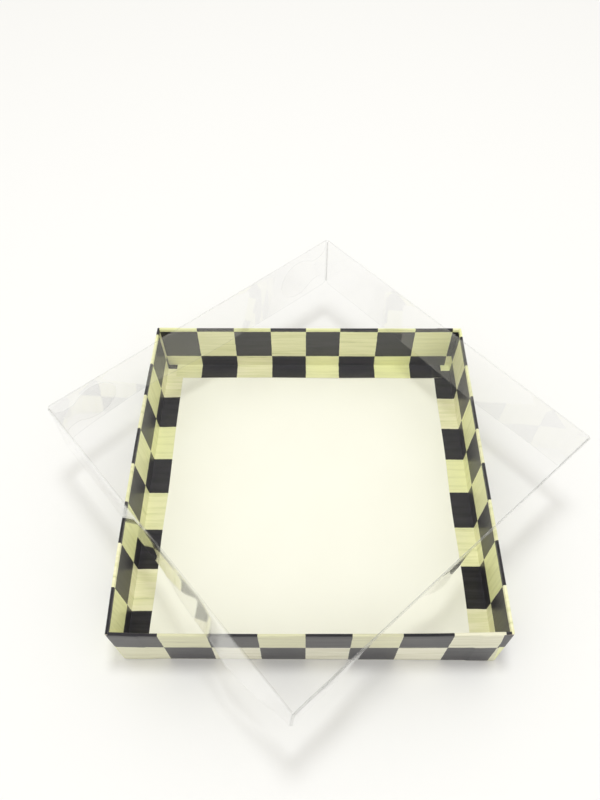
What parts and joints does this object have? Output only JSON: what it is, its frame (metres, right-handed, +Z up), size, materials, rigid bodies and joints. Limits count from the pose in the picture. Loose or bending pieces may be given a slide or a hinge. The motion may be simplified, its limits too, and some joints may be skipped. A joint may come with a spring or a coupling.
{
  "type": "gift box",
  "caption": "Shallow square tray of paper-wrapped board with a raised white floor, and a folded clear acetate lid that lifts off and lies askew on the rim.",
  "frame": {"origin": "centre of the tray's underside, on the surface that the box stands on", "axes": "+X to the right and +Y to the back of the tray as it stands in the picture, +Z up"},
  "size_m": [0.2292, 0.2294, 0.0664],
  "materials": {
    "greyboard": "raw greyboard",
    "gummed_tape": "brown gummed paper",
    "chequered_paper": "matt paper in black and ivory checks",
    "white_paper": "smooth white board",
    "ivory_paper": "matt ivory paper",
    "clear_acetate": "clear gloss sheet",
    "clear_glue": "clear adhesive film"
  },
  "bodies": {
    "tray": {"bottom_board": "greyboard", "front_wall_board": "greyboard", "back_wall_board": "greyboard", "left_wall_board": "greyboard", "right_wall_board": "greyboard", "riser_front": "greyboard", "riser_back": "greyboard", "riser_left": "greyboard", "riser_right": "greyboard", "riser_middle": "greyboard", "platform_board": "greyboard", "corner_tape_front_left": "gummed_tape", "corner_tape_front_right": "gummed_tape", "corner_tape_back_left": "gummed_tape", "corner_tape_back_right": "gummed_tape", "platform_lining": "white_paper", "wrap_left": "chequered_paper", "wrap_right": "chequered_paper", "wrap_front": "chequered_paper", "wrap_back": "chequered_paper", "base_paper": "ivory_paper"},
    "lid": {"lid_sheet": "clear_acetate", "tab_glue_left": "clear_glue", "tab_glue_back": "clear_glue", "tab_glue_right": "clear_glue", "tab_glue_front": "clear_glue"}
  },
  "joints": [
    {"name": "lid_lift", "type": "slide", "parent": "tray", "child": "lid", "axis": [0, 0, 1], "range_m": [0, 0.08]}
  ]
}
